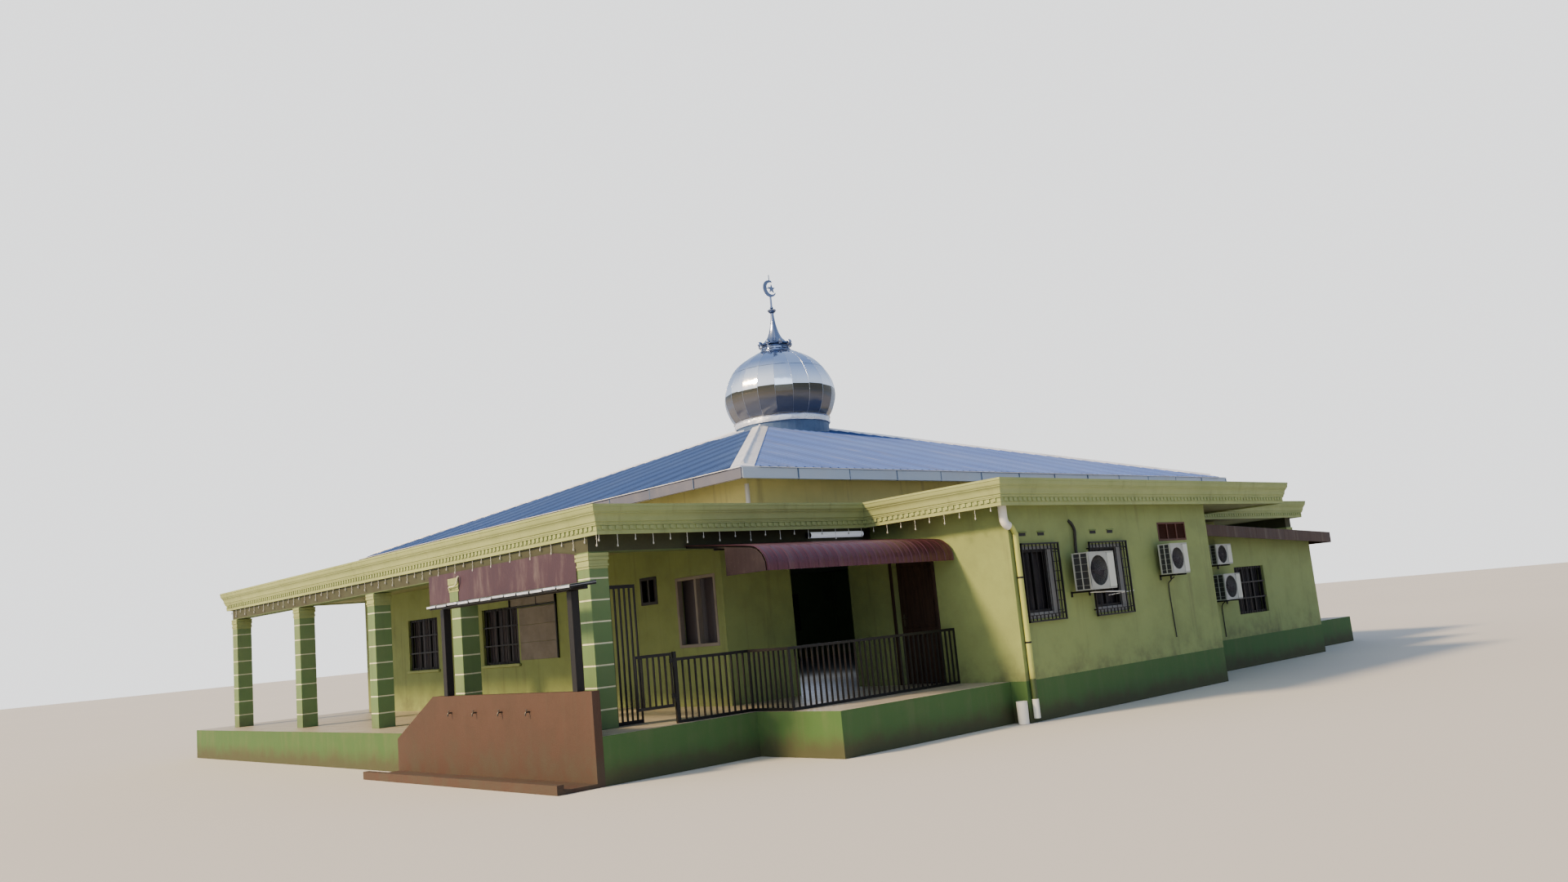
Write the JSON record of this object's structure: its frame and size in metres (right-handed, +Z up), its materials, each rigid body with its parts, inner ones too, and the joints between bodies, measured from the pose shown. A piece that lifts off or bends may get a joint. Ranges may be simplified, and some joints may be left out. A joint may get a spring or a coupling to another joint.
{
  "type": "mosque building",
  "caption": "Single-storey mosque with a hipped blue metal roof and steel onion dome over a square hall, a flat-roofed columned veranda, a front room and a porch.",
  "frame": {"origin": "at ground level under the centre of the dome and the hipped roof", "axes": "+X to the right along the front, +Y to the rear, +Z up"},
  "size_m": [23.94, 19.5703, 10.7906],
  "materials": {
    "plinth": "green painted concrete, weathered",
    "wall": "yellow-green painted plaster",
    "cornice": "yellow-green painted plaster moulding",
    "column": "green painted concrete",
    "concrete": "bare weathered concrete",
    "roof": "blue ribbed sheet, slightly faded",
    "trim": "grey sheet metal",
    "dome_steel": "mirror-bright sheet in gores",
    "glass": "dark window glass",
    "brown_sheet": "dark brown ribbed sheet",
    "timber": "dark stained timber",
    "white_plastic": "off-white casing",
    "green_pipe": "pipe painted green",
    "red_sheet": "dull red ribbed sheet",
    "blind": "dull maroon board",
    "dark_steel": "black painted steel",
    "salmon_wall": "salmon painted plaster"
  },
  "bodies": {
    "building": {"colonnade_left": "column", "colonnade_right": "column", "cooler_left": "white_plastic", "cooler_right": "white_plastic", "cornice_front": "cornice", "cornice_left": "cornice", "cornice_rear": "cornice", "cornice_right": "cornice", "crescent_and_star": "dome_steel", "dome_drum": "dome_steel", "dome_finial": "dome_steel", "dome_shell": "dome_steel", "eave_fascia": "trim", "flat_roof_front": "concrete", "flat_roof_left": "concrete", "flat_roof_rear": "concrete", "flat_roof_right": "concrete", "floor_platform": "plinth", "front_downpipe": "green_pipe", "front_room_door_lintel": "wall", "front_room_glass": "glass", "front_room_wall_front": "wall", "front_room_wall_left_front": "wall", "front_room_wall_left_rear": "wall", "front_room_wall_right": "wall", "hall_glass_left": "glass", "hall_glass_rear": "glass", "hall_glass_right": "glass", "hall_lintel": "wall", "hall_wall_front_left": "wall", "hall_wall_front_right": "wall", "hall_wall_left": "wall", "hall_wall_rear": "wall", "hall_wall_right": "wall", "hip_cap_front_left": "trim", "hip_cap_front_right": "trim", "hip_cap_rear_left": "trim", "hip_cap_rear_right": "trim", "porch_awning": "red_sheet", "porch_beam": "column", "porch_grille": "dark_steel", "porch_railing_bay": "dark_steel", "porch_railing_front": "dark_steel", "porch_railing_side": "dark_steel", "roof_front": "roof", "roof_left": "roof", "roof_rear": "roof", "roof_right": "roof", "upper_downpipe": "white_plastic", "upper_walls": "wall", "veranda_blind": "blind", "wash_roof": "trim", "wash_wall": "salmon_wall", "wing_glass": "glass", "wing_roof": "brown_sheet", "wing_wall_front": "wall", "wing_wall_right": "wall"},
    "door_leaf": {"front_room_door": "timber"},
    "gate_leaf": {"porch_gate": "dark_steel"}
  },
  "joints": [
    {"name": "front_room_door_hinge", "type": "hinge", "parent": "building", "child": "door_leaf", "pos_m": [-5.068, -8.918, 1.6], "axis": [0, 0, -1], "range_deg": [0, 90]},
    {"name": "porch_gate_hinge", "type": "hinge", "parent": "building", "child": "gate_leaf", "pos_m": [-10.288, -8.392, 1.2], "axis": [0, 0, 1], "range_deg": [0, 90]}
  ]
}
